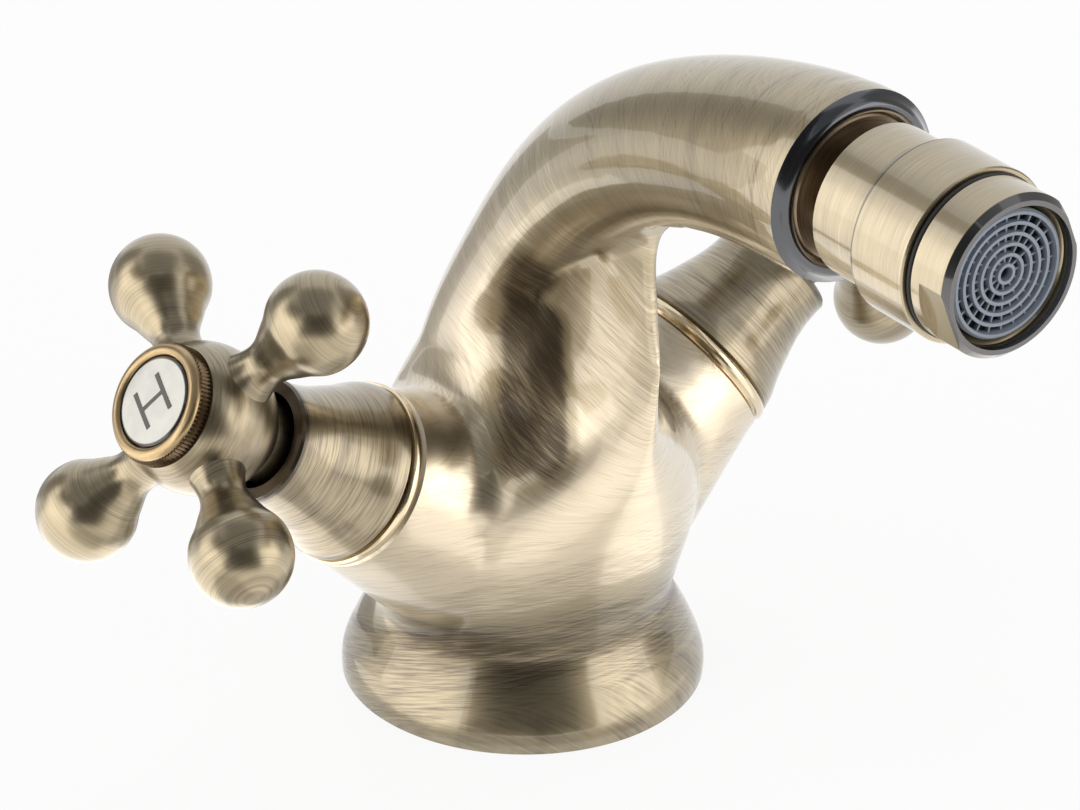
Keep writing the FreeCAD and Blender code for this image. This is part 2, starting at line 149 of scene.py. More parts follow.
def makeBrushGroup():
    # fine strokes: Across is the coordinate square to them, Position stretches them
    tree, given, result = newGroup(
        "brushLines",
        [("Across", "Float"), ("Position", "Vector"), ("Pitch", "Float"), ("Stroke", "Float"),
         ("Slant", "Float")],
        [("Lines", "Float"), ("Bands", "Float")])
    line = mathNode(tree, "DIVIDE", given.outputs["Across"], given.outputs["Pitch"])
    stroke = mathNode(tree, "DIVIDE", 1.0, given.outputs["Stroke"])
    slow = addNode(tree, "ShaderNodeVectorMath", {0: given.outputs["Position"], 3: stroke}, operation="SCALE")
    parts = addNode(tree, "ShaderNodeSeparateXYZ", {0: slow.outputs[0]})
    place = addNode(tree, "ShaderNodeCombineXYZ", {0: parts.outputs[0], 1: parts.outputs[1], 2: line})
    fine = addNode(tree, "ShaderNodeTexNoise", {"Vector": place.outputs[0], "Scale": 1.0, "Detail": 3.0,
                                                "Roughness": 0.6})
    # a second set of strokes crosses the first at a slant
    run = addNode(tree, "ShaderNodeVectorMath", {0: given.outputs["Position"], 1: brush["run"]},
                  operation="DOT_PRODUCT").outputs["Value"]
    lean = mathNode(tree, "MULTIPLY", run, given.outputs["Slant"])
    lean = mathNode(tree, "DIVIDE", lean, given.outputs["Pitch"])
    crossPlace = addNode(tree, "ShaderNodeCombineXYZ", {0: parts.outputs[1], 1: parts.outputs[0],
                                                        2: mathNode(tree, "ADD", line, lean)})
    crossing = addNode(tree, "ShaderNodeTexNoise", {"Vector": crossPlace.outputs[0], "Roughness": 0.6,
                                                    "Scale": brush["crossScale"], "Detail": 3.0})
    both = mathNode(tree, "ADD", fine.outputs["Fac"], crossing.outputs["Fac"])
    both = mathNode(tree, "MULTIPLY_ADD", both, *brush["mix"])
    wide = mathNode(tree, "MULTIPLY", line, brush["wide"])
    bandPlace = addNode(tree, "ShaderNodeCombineXYZ", {0: parts.outputs[0], 1: parts.outputs[1], 2: wide})
    bands = addNode(tree, "ShaderNodeTexNoise", {"Vector": bandPlace.outputs[0], "Roughness": 0.5,
                                                 "Scale": brush["bandScale"], "Detail": 2.0})
    link(tree, both, result.inputs["Lines"])
    link(tree, bands.outputs["Fac"], result.inputs["Bands"])
    return tree


def makePatinaGroup():
    # colour and roughness of brass that was blackened, then brushed bright again
    tree, given, result = newGroup(
        "patina",
        [("Lines", "Float"), ("Bands", "Float"), ("Cavity", "Float"), ("Bright", "Color"),
         ("Middle", "Color"), ("Dark", "Color"), ("Age", "Float"), ("Streaks", "Float"), ("Gloss", "Float")],
        [("Color", "Color"), ("Roughness", "Float"), ("Height", "Float")])
    lines = mathNode(tree, "SUBTRACT", given.outputs["Lines"], 0.5)
    bands = mathNode(tree, "MULTIPLY_ADD", given.outputs["Bands"], 0.4, -0.2)
    streaks = mathNode(tree, "MULTIPLY", mathNode(tree, "ADD", lines, bands), given.outputs["Streaks"])
    age = mathNode(tree, "ADD", given.outputs["Age"], given.outputs["Cavity"])
    mask = mathNode(tree, "ADD", streaks, age, clamp=True)
    worn = rampBetween(tree, mask, 0.0, 0.5)
    light = mixColours(tree, worn, given.outputs["Bright"], given.outputs["Middle"])
    colour = mixColours(tree, rampBetween(tree, mask, 0.5, 1.0), light, given.outputs["Dark"])
    rough = mathNode(tree, "MULTIPLY_ADD", lines, 0.12, given.outputs["Gloss"])
    link(tree, colour, result.inputs["Color"])
    link(tree, rough, result.inputs["Roughness"])
    link(tree, given.outputs["Lines"], result.inputs["Height"])
    return tree


def makeTurnedGroup():
    # coordinates of a turned part: height on its axis, radius, path along its profile, place round it
    tree, given, result = newGroup(
        "turned", [("Vector", "Vector")],
        [("Height", "Float"), ("Radius", "Float"), ("Along", "Float"), ("Position", "Vector")])
    x, y, z = addNode(tree, "ShaderNodeSeparateXYZ", {0: given.outputs[0]}).outputs
    square = mathNode(tree, "ADD", mathNode(tree, "MULTIPLY", x, x), mathNode(tree, "MULTIPLY", y, y))
    radius = mathNode(tree, "SQRT", square)
    # a point on a 12 mm circle, which has no seam where the angle starts again
    circle = [mathNode(tree, "MULTIPLY", mathNode(tree, "DIVIDE", k, radius), 12 * mm) for k in (x, y)]
    place = addNode(tree, "ShaderNodeCombineXYZ", {0: circle[0], 1: circle[1], 2: 0.0})
    link(tree, z, result.inputs["Height"])
    link(tree, radius, result.inputs["Radius"])
    link(tree, mathNode(tree, "ADD", z, radius), result.inputs["Along"])
    link(tree, place.outputs[0], result.inputs["Position"])
    return tree


brushTree = makeBrushGroup()
patinaTree = makePatinaGroup()
turnedTree = makeTurnedGroup()


def inverseMapping(tree, matrix, vector):
    # brings Object coordinates into the frame of a turned part
    inverse = matrix.inverted()
    rows = []
    for k in range(3):
        dot = addNode(tree, "ShaderNodeVectorMath", {0: vector, 1: inverse[k][:3]}, operation="DOT_PRODUCT")
        rows.append(mathNode(tree, "ADD", dot.outputs["Value"], inverse[k][3]))
    return addNode(tree, "ShaderNodeCombineXYZ", {0: rows[0], 1: rows[1], 2: rows[2]}).outputs[0]


# linear colours of the brass, from brushed highlight to patina; shade: (output of the turned group, from,
# to, darkening added: patina, and in places painted shade), in millimetres
antique = {
    "bright": (0.76, 0.66, 0.505),
    "middle": (0.39, 0.325, 0.21),
    "dark": (0.085, 0.065, 0.046),
    "age": 0.24,
    "streaks": 1.15,
    "gloss": 0.33,
    "pitch": 0.40 * mm,
    "stroke": 9 * mm,
    "slant": 0.0,
    "across": "Along",
    "lineDepth": 0.010 * mm,
    "coat": 1.0,
    "coatRoughness": 0.05,
    "coatIor": 1.7,
    "dull": (0.62, 0.82, 0.12),  # the darkest hollows keep little of the lacquer's gloss: from, to, weight
    "shade": [],
}
finish = {
    "casting": {"gloss": 0.34, "age": 0.06, "coatIor": 1.6, "slant": 0.4, "stroke": 10 * mm,
                "pitch": 0.34 * mm, "streaks": 0.85},
    "cover": {"coatRoughness": 0.12, "coatIor": 1.6, "age": 0.68, "pitch": 0.26 * mm, "streaks": 0.8,
              # the small end darkens towards its lip; inside the bore, below 9.6 mm radius, the dark is
              # painted shade
              "shade": [("Height", 67.3, 68.4, 0.8), ("Radius", 9.6, 8.6, 0.8)]},
    "handle": {"coatRoughness": 0.26, "coatIor": 1.5, "age": 0.64, "gloss": 0.31, "across": "Radius",
               "pitch": 0.24 * mm, "streaks": 0.6,
               "shade": [("Radius", 21, 11, 0.05)]},
    "nozzle": {"coatRoughness": 0.07, "coatIor": 1.7, "age": 0.52, "dark": (0.07, 0.07, 0.075),
               "pitch": 0.24 * mm, "streaks": 0.8,
               # from 13.0 to 15.5 mm the cup darkens towards the collar, which is painted shade; then a dark
               # line at the joint, and all of it is taken away again by 16.6 mm
               "shade": [("Height", 36.7, 36.9, 1.0), ("Height", 13.0, 15.5, 0.35),
                         ("Height", 15.5, 15.55, 0.4), ("Height", 15.9, 16.6, -0.75)]},
    "ring": {"bright": (0.74, 0.62, 0.42), "middle": (0.52, 0.41, 0.25), "age": 0.12, "gloss": 0.2},
    "bezel": {"bright": (0.60, 0.455, 0.265), "middle": (0.38, 0.275, 0.145), "dark": (0.12, 0.08, 0.045),
              "age": 0.38, "gloss": 0.34, "coat": 0.3, "coatIor": 1.5,
              "shade": [("Height", 93.35, 92.9, 0.6)]},
    "mouth": {"bright": (0.34, 0.27, 0.19), "middle": (0.20, 0.155, 0.11), "coat": 0.2, "coatIor": 1.5},
    "rim": {"bright": (0.085, 0.09, 0.105), "middle": (0.05, 0.055, 0.065), "streaks": 0.3, "gloss": 0.22,
            "coatRoughness": 0.10, "coatIor": 1.5},
}


def antiqueMaterial(name, look, matrix=None):
    look = {**antique, **finish[look]}
    material = bpy.data.materials.new(name)
    material.use_nodes = True
    tree = material.node_tree
    shader = tree.nodes["Principled BSDF"]
    coords = addNode(tree, "ShaderNodeTexCoord").outputs["Object"]
    if matrix is None:
        along = addNode(tree, "ShaderNodeAttribute", attribute_name="along").outputs["Fac"]
        cavity = addNode(tree, "ShaderNodeAttribute", attribute_name="cavity").outputs["Fac"]
        position = coords
    else:
        turned = groupNode(tree, turnedTree, {"Vector": inverseMapping(tree, matrix, coords)})
        along, position = turned.outputs[look["across"]], turned.outputs["Position"]
        cavity = 0.0
        # the look's shade ramps: patina, and in places painted shade
        for output, start, end, amount in look["shade"]:
            near, far = sorted((start * mm, end * mm))
            change = (0.0, amount) if start < end else (amount, 0.0)
            step = rampBetween(tree, turned.outputs[output], near, far, *change)
            cavity = mathNode(tree, "ADD", cavity, step)
    lines = groupNode(tree, brushTree, {"Across": along, "Position": position, "Pitch": look["pitch"],
                                        "Stroke": look["stroke"], "Slant": look["slant"]})
    tone = groupNode(tree, patinaTree, {
        "Lines": lines.outputs["Lines"], "Bands": lines.outputs["Bands"], "Cavity": cavity,
        "Age": look["age"], "Streaks": look["streaks"], "Gloss": look["gloss"],
        "Bright": (*look["bright"], 1), "Middle": (*look["middle"], 1), "Dark": (*look["dark"], 1)})
    bump = addNode(tree, "ShaderNodeBump", {"Strength": 1.0, "Distance": look["lineDepth"],
                                            "Height": tone.outputs["Height"]})
    shader.inputs["Metallic"].default_value = 1.0
    shader.inputs["Coat Weight"].default_value = look["coat"]
    if matrix is None:
        dullFrom, dullTo, dullCoat = look["dull"]
        weight = rampBetween(tree, cavity, dullFrom, dullTo, look["coat"], dullCoat)
        link(tree, weight, shader.inputs["Coat Weight"])
    shader.inputs["Coat Roughness"].default_value = look["coatRoughness"]
    shader.inputs["Coat IOR"].default_value = look["coatIor"]
    link(tree, tone.outputs["Color"], shader.inputs["Base Color"])
    link(tree, tone.outputs["Roughness"], shader.inputs["Roughness"])
    link(tree, bump.outputs["Normal"], shader.inputs["Normal"])
    return material


def plainMaterial(name, colour, roughness, metallic=0.0, coat=0.0, grain=900.0, grainDepth=0.01 * mm,
                  tint=None):
    # tint: (matrix, output of the turned group, start, end, second colour)
    material = bpy.data.materials.new(name)
    material.use_nodes = True
    tree = material.node_tree
    shader = tree.nodes["Principled BSDF"]
    coords = addNode(tree, "ShaderNodeTexCoord").outputs["Object"]
    noise = addNode(tree, "ShaderNodeTexNoise", {"Vector": coords, "Scale": grain, "Detail": 3.0})
    speck = rampBetween(tree, noise.outputs["Fac"], 0.3, 0.7)
    tone = mixColours(tree, speck, (*(c * 0.88 for c in colour), 1), (*colour, 1))
    if tint:
        matrix, output, start, end, second = tint
        turned = groupNode(tree, turnedTree, {"Vector": inverseMapping(tree, matrix, coords)})
        share = rampBetween(tree, turned.outputs[output], start * mm, end * mm)
        tone = mixColours(tree, share, tone, (*second, 1))
    bump = addNode(tree, "ShaderNodeBump", {"Strength": 0.6, "Distance": grainDepth,
                                            "Height": noise.outputs["Fac"]})
    link(tree, tone, shader.inputs["Base Color"])
    link(tree, bump.outputs["Normal"], shader.inputs["Normal"])
    shader.inputs["Roughness"].default_value = roughness
    shader.inputs["Metallic"].default_value = metallic
    shader.inputs["Coat Weight"].default_value = coat
    return material


def paint(name, material):
    node = nodes[name]
    node.data.materials.clear()
    node.data.materials.append(material)


rubber = plainMaterial("rubber", (0.02, 0.02, 0.02), 0.6)
insertPlastic = plainMaterial("insertPlastic", (0.045, 0.05, 0.06), 0.4,
                              tint=(mouthMatrix, "Height", 34.4, 35.6, (0.27, 0.31, 0.37)))
whitePlastic = plainMaterial("whitePlastic", (0.8, 0.8, 0.78), 0.5)
ceramic = plainMaterial("ceramic", (0.85, 0.85, 0.82), 0.2)
steel = plainMaterial("steel", (0.5, 0.5, 0.5), 0.3, metallic=1.0)
rawBrass = plainMaterial("rawBrass", (0.55, 0.42, 0.2), 0.35, metallic=1.0)
ink = plainMaterial("ink", (0.035, 0.026, 0.022), 0.35, coat=0.5)
noseBrass = antiqueMaterial("noseBrass", "nozzle", mouthMatrix)
innerBrass = antiqueMaterial("innerBrass", "mouth", mouthMatrix)
ringBrass, bezelBrass = {}, {}

for side, matrix in valveMatrix.items():
    ringBrass[side] = antiqueMaterial(side + "RingBrass", "ring", matrix)
    bezelBrass[side] = antiqueMaterial(side + "BezelBrass", "bezel", matrix)
    enamel = plainMaterial(side + "Enamel", (0.80, 0.785, 0.70), 0.16, coat=0.8, grain=300.0,
                           grainDepth=0.003 * mm, tint=(matrix, "Radius", 7.35, 7.5, (0.03, 0.022, 0.018)))
    paint(side + "_cover", antiqueMaterial(side + "CoverBrass", "cover", matrix))
    paint(side + "_handle", antiqueMaterial(side + "HandleBrass", "handle", matrix))
    paint(side + "_cover_ring", ringBrass[side])
    for part in ("headwork", "spindle"):
        paint(side + "_" + part, rawBrass)
    for part in ("fixed_disc", "turning_disc"):
        paint(side + "_" + part, ceramic)
    paint(side + "_seat_seal", rubber)
    paint(side + "_handle_screw", steel)
    paint(side + "_index_disc", enamel)
for part in ("nozzle_cup", "nozzle_collar", "aerator_head"):
    paint(part, noseBrass)
paint("ball_spigot", innerBrass)
for part in ("aerator_washer", "foot_seal"):
    paint(part, rubber)
paint("ball_liner", whitePlastic)
paint("aerator_insert", insertPlastic)
print("materials done")


def objectFrom(bm, name):
    mesh = bpy.data.meshes.new(name)
    bm.to_mesh(mesh)
    bm.free()
    made = bpy.data.objects.new(name, mesh)
    bpy.context.scene.collection.objects.link(made)
    return made


def turnedBmesh(profile, steps):
    # spins a closed profile of (radius, height) in millimetres round the z axis
    bm = bmesh.new()
    verts = [bmesh.ops.create_vert(bm, co=(r * mm, 0, h * mm))["vert"][0] for r, h in profile]
    edges = [bm.edges.new((a, b)) for a, b in zip(verts, verts[1:] + verts[:1])]
    bmesh.ops.spin(bm, geom=verts + edges, axis=(0, 0, 1), cent=(0, 0, 0), steps=steps, angle=2 * math.pi,
                   use_merge=True)
    bmesh.ops.remove_doubles(bm, verts=bm.verts, dist=0.001 * mm)
    return bm


pieceSharp = math.radians(32)


def finishPiece(bm, name, matrix, material, body, slot, *replaced):
    bmesh.ops.transform(bm, matrix=matrix, verts=bm.verts)
    bmesh.ops.recalc_face_normals(bm, faces=bm.faces)
    for f in bm.faces:
        f.smooth = True
    piece = objectFrom(bm, name)
    piece.data.set_sharp_from_angle(angle=pieceSharp)
    piece.data.materials.append(material)
    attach(piece, body)
    if replaced:
        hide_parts(*replaced)
    return piece


# screw ring of the handle, with its knurled edge
screwRing = {
    "profile": [(6.9, 87.2), (8.4, 87.2), (8.4, 90.6), (10.3, 90.6), (10.6, 90.8), (10.68, 90.95),
                (10.68, 92.85), (10.55, 93.0), (10.3, 93.1), (10.3, 93.35), (10.2, 93.65), (9.9, 94.0),
                (9.45, 94.25), (9.0, 94.33), (8.6, 94.25), (8.3, 94.05), (8.12, 93.75), (8.05, 93.4),
                (8.05, 92.5), (6.9, 92.5)],
    "teeth": 88,
    "toothDepth": 0.42,
    "toothFrom": 10.5,
}


def addScrewRing(side):
    steps = screwRing["teeth"] * 4
    bm = turnedBmesh(screwRing["profile"], steps)
    for v in bm.verts:
        radius = v.co.xy.length
        if radius > screwRing["toothFrom"] * mm:
            k = round(math.atan2(v.co.y, v.co.x) / (2 * math.pi) * steps) % 4
            drop = (0, 0.5, 1, 0.5)[k] * screwRing["toothDepth"] * mm
            v.co.xy *= (radius - drop) / radius
    finishPiece(bm, side + "ScrewRing", valveMatrix[side], bezelBrass[side], side + "_control",
                "golden_brass", side + "_bezel")


# plain letter on each marker disc
mark = {"size": 11.6 * mm, "height": 94.19 * mm, "thickness": 0.12 * mm, "thinner": -0.012 * 11.6 * mm,
        "hot": ("H", -116.7), "cold": ("C", 18.0)}


def addMark(side):
    letter, turn = mark[side]
    curve = bpy.data.curves.new(side + "Letter", "FONT")
    curve.body = letter
    curve.size = mark["size"]
    curve.extrude = mark["thickness"]
    curve.offset = mark["thinner"]
    curve.align_x, curve.align_y = "CENTER", "CENTER"
    holder = bpy.data.objects.new(side + "Letter", curve)
    bpy.context.scene.collection.objects.link(holder)
    graph = bpy.context.evaluated_depsgraph_get()
    mesh = bpy.data.meshes.new_from_object(holder.evaluated_get(graph))
    bpy.data.objects.remove(holder)
    bm = bmesh.new()
    bm.from_mesh(mesh)
    bmesh.ops.remove_doubles(bm, verts=bm.verts, dist=0.0005 * mm)
    middle = [(min(v.co[k] for v in bm.verts) + max(v.co[k] for v in bm.verts)) / 2 for k in (0, 1)]
    bmesh.ops.translate(bm, verts=bm.verts, vec=(-middle[0], -middle[1], 0))
    face = valveMatrix[side] @ Matrix.Translation((0, 0, mark["height"]))
    place = face @ Matrix.Rotation(math.radians(turn), 4, "Z")
    finishPiece(bm, side + "Mark", place, ink, side + "_control", "cream_enamel")


# thin rubber ring between collar and aerator head
headRing = {"profile": [(12.6, 28.53), (13.8, 28.53), (14.1, 28.68), (14.2, 28.95), (14.1, 29.22),
                        (13.8, 29.37), (12.6, 29.37)]}

for side in ("hot", "cold"):
    addScrewRing(side)
    addMark(side)
finishPiece(turnedBmesh(headRing["profile"], 128), "headRing", mouthMatrix, rubber, "nozzle", "black_rubber",
            "nozzle_gasket")
print("rings and marks done")

# the casting's skin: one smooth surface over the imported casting
skin = {
    "voxel": 0.75 * mm,
    "voxelRounds": 4,
    "neck": [(0, 0, 0), (0, 16.5, 46), (0, 12.6, 58), (0, -0.4, 81.1), (0, -15.9, 101.8), (0, -36.3, 117.9),
             (0, -56, 126), (0, -73, 129.7), (0, -95, 131.1)],
    "hollowFrom": 0.045,
    "creaseSpread": 8,
    "creaseRounds": 170,
    "creaseBlend": 6,
    "patina": [(0, 0.60), (14, 0.70), (19, 0.22), (26, 0.04), (80, 0.02), (112, 0.22), (140, 0.50),
               (201, 0.56)],
    "patinaBlend": 12,
    "hollowRounds": 160,
    "hollowDepth": 1.1,
    # how much darker the hollows get: partly patina, partly painted shade
    "hollowPatinaAndShade": 0.22,
    # dark bands in the valleys, partly patina that the brushing didn't reach and partly a painted dark
    # reflection, on both sides: points, full to, none from (mm), amount
    "valleys": [
        ([(-10.6, -15, 88), (-9.8, -12.6, 84.7), (-9.5, -10.5, 73.8), (-12.2, -14.5, 64), (-15.5, -20, 56)],
         2.0, 10.0, 0.8),
        ([(-8.6, -16, 78), (-9.5, -17, 72), (-12, -21, 64), (-14, -24, 58)], 3.0, 8.0, 0.85),
        ([(-16, -8, 60), (-19, 0, 56), (-17, 9, 55)], 0.5, 5.0, 0.35),
    ],
    "sharpAngle": 34,
}


def softened(bm, rounds):
    for _ in range(rounds):
        bmesh.ops.smooth_vert(bm, verts=bm.verts, factor=0.5, use_axis_x=True, use_axis_y=True,
                              use_axis_z=True)
    return bm


def plug(bm, matrix, radiusLow, radiusHigh, low, high):
    # a closed cone between two heights on the matrix's z axis, in millimetres
    made = bmesh.ops.create_cone(bm, cap_ends=True, segments=96, radius1=radiusLow * mm,
                                 radius2=radiusHigh * mm, depth=(high - low) * mm)
    middle = Matrix.Translation((0, 0, (low + high) / 2 * mm))
    bmesh.ops.transform(bm, matrix=matrix @ middle, verts=made["verts"])


# cones that fill the bores before the remesh and carry each open end past the place where it is cut:
# (radius low, radius high, from, to), in millimetres
plugs = {
    "mouth": [(16.65, 16.65, -6, 3), (12, 12, -16, 0)],
    "boss": [(16.7, 16.2, 38, 48), (12, 12, 12, 40)],
    "foot": [(32.9, 32.9, -3, 2), (27, 24, -3, 24)],
}


def applied(piece):
    graph = bpy.context.evaluated_depsgraph_get()
    mesh = bpy.data.meshes.new_from_object(piece.evaluated_get(graph))
    old = piece.data
    piece.modifiers.clear()
    piece.data = mesh
    bpy.data.meshes.remove(old)
    return piece


def buildSkin():
    bm = bmesh.new()
    bm.from_mesh(nodes["body_casting"].data)
    bmesh.ops.remove_doubles(bm, verts=bm.verts, dist=0.0005 * mm)
    places = (("mouth", mouthMatrix), ("boss", hotMatrix), ("boss", coldMatrix), ("foot", Matrix()))
    for end, matrix in places:
        for cone in plugs[end]:
            plug(bm, matrix, *cone)
    bmesh.ops.recalc_face_normals(bm, faces=bm.faces)
    piece = objectFrom(bm, "casting")
    remesh = piece.modifiers.new("voxels", "REMESH")
    remesh.mode = "VOXEL"
    remesh.voxel_size = skin["voxel"]
    applied(piece)
    print("skin voxels:", len(piece.data.polygons))
    return piece


def pathStations(points):
    stations, length = [], 0.0
    vectors = [Vector(p) * mm for p in points]
    for a, b in zip(vectors[:-1], vectors[1:]):
        stations.append((a, b, length))
        length += (b - a).length
    return stations


def smoothValues(bm, layer, rounds):
    for _ in range(rounds):
        fresh = [sum(e.other_vert(v)[layer] for e in v.link_edges) / len(v.link_edges) for v in bm.verts]
        for v, value in zip(bm.verts, fresh):
            v[layer] = 0.5 * v[layer] + 0.5 * value


def hollowness(v):
    around = [e.other_vert(v) for e in v.link_edges]
    middle = sum((w.co for w in around), Vector()) / len(around)
    return (middle - v.co).dot(v.normal) / skin["voxel"]


def roundCreases(piece):
    bm = bmesh.new()
    bm.from_mesh(piece.data)
    softened(bm, skin["voxelRounds"])
    bm.normal_update()
    inner = bm.verts.layers.float.new("crease")
    for v in bm.verts:
        v[inner] = 1.0 if hollowness(v) > skin["hollowFrom"] else 0.0
    for _ in range(skin["creaseSpread"]):
        marked = {w for v in bm.verts if v[inner] > 0.5 for e in v.link_edges for w in e.verts}
        for v in marked:
            v[inner] = 1.0
    smoothValues(bm, inner, skin["creaseBlend"])
    bm.to_mesh(piece.data)
    bm.free()
    weights = piece.data.attributes["crease"].data
    group = piece.vertex_groups.new(name="crease")
    for i, w in enumerate(weights):
        if w.value > 0.01:
            group.add([i], w.value, "REPLACE")
    soft = piece.modifiers.new("round", "SMOOTH")
    soft.vertex_group = "crease"
    soft.factor = 0.5
    soft.iterations = skin["creaseRounds"]
    applied(piece)


def cutOff(bm, matrix, depth, reach):
    # removes what lies beyond the plane at depth along the matrix's z, and returns the open loop
    normal = (matrix.to_3x3() @ Vector((0, 0, 1))).normalized()
    inverse = matrix.inverted()
    faces = []
    for f in bm.faces:
        p = inverse @ f.calc_center_median()
        if p.z > (depth - 3) * mm and p.xy.length < reach * mm:
            faces.append(f)
    geometry = list({g for f in faces for g in (*f.verts, *f.edges)}) + faces
    cut = bmesh.ops.bisect_plane(bm, geom=geometry, dist=1e-7, plane_co=matrix @ Vector((0, 0, depth * mm)),
                                 plane_no=normal, clear_outer=True)
    return [e for e in cut["geom_cut"] if isinstance(e, bmesh.types.BMEdge)]


def ringStep(bm, edges, matrix, radius, depth, slot=0):
    # carries an open loop on to a new radius and depth in the matrix's frame
    made = bmesh.ops.extrude_edge_only(bm, edges=edges)["geom"]
    inverse = matrix.inverted()
    for v in [g for g in made if isinstance(g, bmesh.types.BMVert)]:
        p = inverse @ v.co
        flat = Vector((p.x, p.y, 0)).normalized() * radius * mm
        v.co = matrix @ Vector((flat.x, flat.y, depth * mm))
    for f in [g for g in made if isinstance(g, bmesh.types.BMFace)]:
        f.material_index = slot
    return [g for g in made if isinstance(g, bmesh.types.BMEdge)]


# open ends: depth of the cut, how far from the axis it reaches, and rings as (radius, depth, material),
# in millimetres; material 1 is the mouth's inside, 2 its rim
ends = {
    "mouth": {"cut": -1.9, "reach": 20,
              "rings": [(15.75, -1.25, 2), (15.45, -0.75, 2), (15.1, -0.35, 2), (14.75, -0.1, 2),
                        (14.55, 0, 2), (13.75, 0, 2), (13.45, -0.2, 1), (13.2, -0.5, 1), (13.2, -2.6, 1),
                        (11.6, -2.6, 1), (11.6, -12, 1)]},
    "boss": {"cut": 43.8, "reach": 20,
             "rings": [(15.9, 44.2, 0), (15.6, 44.4, 0), (10.4, 44.4, 0), (10.4, 20, 0), (4.5, 20, 0)]},
    "foot": {"cut": 0, "reach": 40,
             "rings": [(31.15, 0, 0), (31.15, -2.2, 0), (27.85, -2.2, 0), (27.85, 0, 0), (25.4, 0, 0),
                       (25.4, -7, 0)]},
}


def patinaAt(along):
    # how much patina the brushing left, by the path length from the foot in millimetres
    stops = skin["patina"]
    for (a, low), (b, high) in zip(stops[:-1], stops[1:]):
        if along < b * mm:
            return low + (high - low) * max(along / mm - a, 0) / (b - a)
    return stops[-1][1]


def nearestOn(point, a, b):
    # distance from a point to the run between a and b, and how far along the run that is
    span = b - a
    t = min(max((point - a).dot(span) / span.length_squared, 0), 1)
    return (point - a - span * t).length, t * span.length


def valleyPatinaAndReflection(point):
    # darkens the valleys between neck, ridge and bosses, partly patina and partly a painted dark reflection;
    # both sides are alike
    p = Vector((-abs(point.x), point.y, point.z)) / mm
    most = 0.0
    for points, full, none, amount in skin["valleys"]:
        gap = min(nearestOn(p, Vector(a), Vector(b))[0] for a, b in zip(points[:-1], points[1:]))
        share = min(max((none - gap) / (none - full), 0), 1)
        most = max(most, amount * share * share * (3 - 2 * share))
    return most


def hollowDepths(bm):
    # how far each point lies under a much smoothed copy of the surface, in millimetres
    soft = softened(bm.copy(), skin["hollowRounds"])
    depths = [(s.co - v.co).dot(v.normal) / mm for s, v in zip(soft.verts, bm.verts)]
    soft.free()
    return depths


def dressEnds(piece):
    bm = bmesh.new()
    bm.from_mesh(piece.data)
    bm.normal_update()
    along = bm.verts.layers.float.new("along")
    cavity = bm.verts.layers.float.new("cavity")
    # points that lie deep in a hollow get darker: partly the patina antique brass keeps there, partly painted
    # shade
    for v, depth in zip(bm.verts, hollowDepths(bm)):
        v[cavity] = min(max(depth / skin["hollowDepth"], 0), 1) * skin["hollowPatinaAndShade"]
    down = Matrix.Rotation(math.pi, 4, "X")
    for end, matrix in (("mouth", mouthMatrix), ("boss", hotMatrix), ("boss", coldMatrix), ("foot", down)):
        loop = cutOff(bm, matrix, ends[end]["cut"], ends[end]["reach"])
        for radius, depth, slot in ends[end]["rings"]:
            loop = ringStep(bm, loop, matrix, radius, depth, slot)
        bmesh.ops.contextual_create(bm, geom=loop)
    bmesh.ops.recalc_face_normals(bm, faces=bm.faces)
    stations = pathStations(skin["neck"])
    for v in bm.verts:
        near = [(*nearestOn(v.co, a, b), start) for a, b, start in stations]
        gap, run, start = min(near)
        v[along] = start + run
    smoothValues(bm, along, skin["patinaBlend"])
    smoothValues(bm, cavity, skin["patinaBlend"])
    for v in bm.verts:
        v[cavity] += max(patinaAt(v[along]), valleyPatinaAndReflection(v.co))
    for f in bm.faces:
        f.smooth = True
    bm.to_mesh(piece.data)
    bm.free()
    piece.data.set_sharp_from_angle(angle=math.radians(skin["sharpAngle"]))


casting = buildSkin()
roundCreases(casting)
print("creases rounded")
dressEnds(casting)
casting.data.materials.append(antiqueMaterial("bodyBrass", "casting"))
casting.data.materials.append(innerBrass)
casting.data.materials.append(antiqueMaterial("rimBrass", "rim", mouthMatrix))
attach(casting, "mixer")
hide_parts("body_casting")
print("skin done:", len(casting.data.polygons), "faces")


def emissionMaterial(name, colour):
    material = bpy.data.materials.new(name)
    material.use_nodes = True
    tree = material.node_tree
    tree.nodes.remove(tree.nodes["Principled BSDF"])
    shine = addNode(tree, "ShaderNodeEmission", {"Color": (*colour, 1), "Strength": 1.0})
    link(tree, shine.outputs[0], tree.nodes["Material Output"].inputs["Surface"])
    return material


def seenRays(tree):
    rays = addNode(tree, "ShaderNodeLightPath")
    seen = mathNode(tree, "MAXIMUM", rays.outputs["Is Camera Ray"], rays.outputs["Is Glossy Ray"])
    return mathNode(tree, "MAXIMUM", seen, rays.outputs["Is Transmission Ray"])


def floorMaterial():
    material = bpy.data.materials.new("floor")
    material.use_nodes = True
    tree = material.node_tree
    tree.nodes.remove(tree.nodes["Principled BSDF"])
    matt = addNode(tree, "ShaderNodeBsdfDiffuse", {"Color": (0.86, 0.86, 0.86, 1)})
    white = addNode(tree, "ShaderNodeEmission", {"Color": (1, 1, 1, 1), "Strength": 1.0})
    share = mathNode(tree, "MULTIPLY", seenRays(tree), studio["floorGlow"])
    mix = addNode(tree, "ShaderNodeMixShader", {0: share, 1: matt.outputs[0], 2: white.outputs[0]})
    link(tree, mix.outputs[0], tree.nodes["Material Output"].inputs["Surface"])
    return material


def addPlane(name, material, size, matrix):
    bm = bmesh.new()
    bmesh.ops.create_grid(bm, x_segments=1, y_segments=1, size=0.5)
    bmesh.ops.transform(bm, matrix=matrix @ Matrix.Diagonal((*size, 1, 1)), verts=bm.verts)
    plane = objectFrom(bm, name)
    plane.data.materials.append(material)
    return plane


